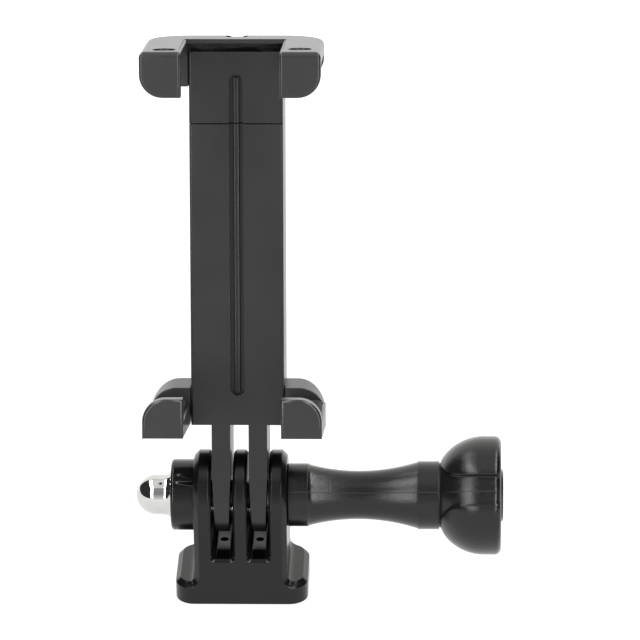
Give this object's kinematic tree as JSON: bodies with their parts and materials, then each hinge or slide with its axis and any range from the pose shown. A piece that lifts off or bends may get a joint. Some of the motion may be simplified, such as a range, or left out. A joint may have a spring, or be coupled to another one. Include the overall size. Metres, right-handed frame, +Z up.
{
  "type": "phone mount adapter",
  "caption": "Spring-jawed phone clip with a folding-prong hinge, a lobed thumb screw and a threaded tripod foot.",
  "frame": {"origin": "centre of the tripod thread's mouth, on the face the foot stands on", "axes": "+Z up along the tripod thread, -Y towards the side the phone goes in, +X along the thumb screw towards its knob"},
  "size_m": [0.062, 0.0489, 0.0991],
  "materials": {
    "black_plastic": "fine satin moulded black",
    "clip_plastic": "fine satin moulded black",
    "knob_plastic": "semi-gloss moulded black",
    "insert_brass": "turned brass",
    "nut_chrome": "bright chrome plate",
    "bolt_steel": "zinc-plated steel",
    "screw_steel": "black oxide steel",
    "pad_rubber": "matt black rubber"
  },
  "bodies": {
    "base": {"base_body": "black_plastic", "tripod_insert": "insert_brass", "cap_nut": "nut_chrome"},
    "screw": {"clamp_bolt": "bolt_steel", "thumb_knob": "knob_plastic", "knob_cover": "knob_plastic"},
    "clip": {"front_housing": "clip_plastic", "rear_housing": "clip_plastic", "housing_screws": "screw_steel", "guide_rod_left": "bolt_steel", "guide_rod_right": "bolt_steel", "spring_left": "screw_steel", "spring_right": "screw_steel", "lower_pad_left": "pad_rubber", "lower_pad_right": "pad_rubber"},
    "slider": {"upper_jaw": "clip_plastic", "upper_cover": "clip_plastic", "upper_pad_left": "pad_rubber", "upper_pad_right": "pad_rubber"}
  },
  "joints": [
    {"name": "clamp_tilt", "type": "hinge", "parent": "base", "child": "clip", "pos_m": [0, 0, 0.0171], "axis": [1, 0, 0], "range_deg": [-73, 77]},
    {"name": "screw_turn", "type": "hinge", "parent": "base", "child": "screw", "pos_m": [0, 0, 0.0171], "axis": [1, 0, 0], "continuous": true},
    {"name": "jaw_slide", "type": "slide", "parent": "clip", "child": "slider", "axis": [0, 0.2924, 0.9563], "range_m": [0, 0.028], "stiffness_N_per_m": 350, "springref_m": -0.02, "deforming": ["spring_left", "spring_right"]}
  ]
}
